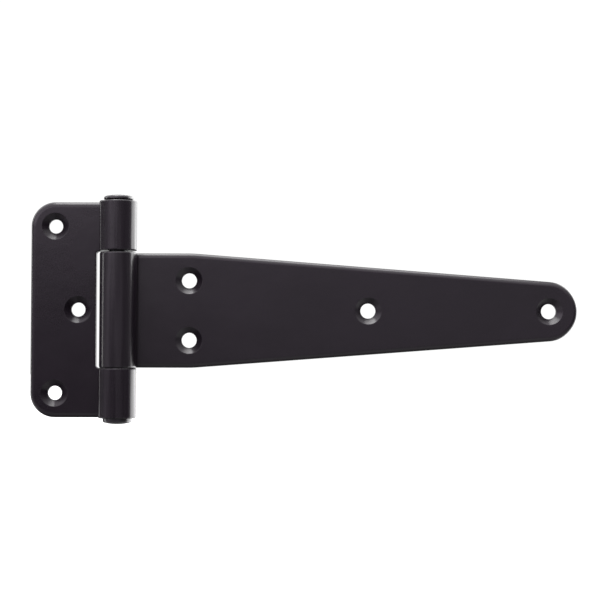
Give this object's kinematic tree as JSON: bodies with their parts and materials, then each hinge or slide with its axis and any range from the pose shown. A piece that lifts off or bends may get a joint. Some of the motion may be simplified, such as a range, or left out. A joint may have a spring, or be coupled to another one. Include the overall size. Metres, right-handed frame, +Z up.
{
  "type": "tee hinge",
  "caption": "Black tee hinge for a gate or shed door: rectangular frame leaf, long tapered strap with a round end, rolled barrel on a riveted pin, countersunk screw holes.",
  "frame": {"origin": "in the plane of the flat backs, straight behind the pin axis, at the middle of the barrel's height", "axes": "+Z up along the pin, +X along the strap towards its tip, -Y out of the countersunk front; the flat backs lie in the plane Y = 0 and face +Y"},
  "size_m": [0.179, 0.012, 0.0746],
  "materials": {
    "black_plate": "satin black coat on formed steel plate",
    "black_pin": "satin black coat on a riveted steel pin"
  },
  "bodies": {
    "frame": {"frame_leaf": "black_plate", "hinge_pin": "black_pin"},
    "strap": {"strap_leaf": "black_plate"}
  },
  "joints": [
    {"name": "strap_swing", "type": "hinge", "parent": "frame", "child": "strap", "pos_m": [0, -0.006, 0], "axis": [0, 0, 1], "range_deg": [-191, 101]}
  ]
}
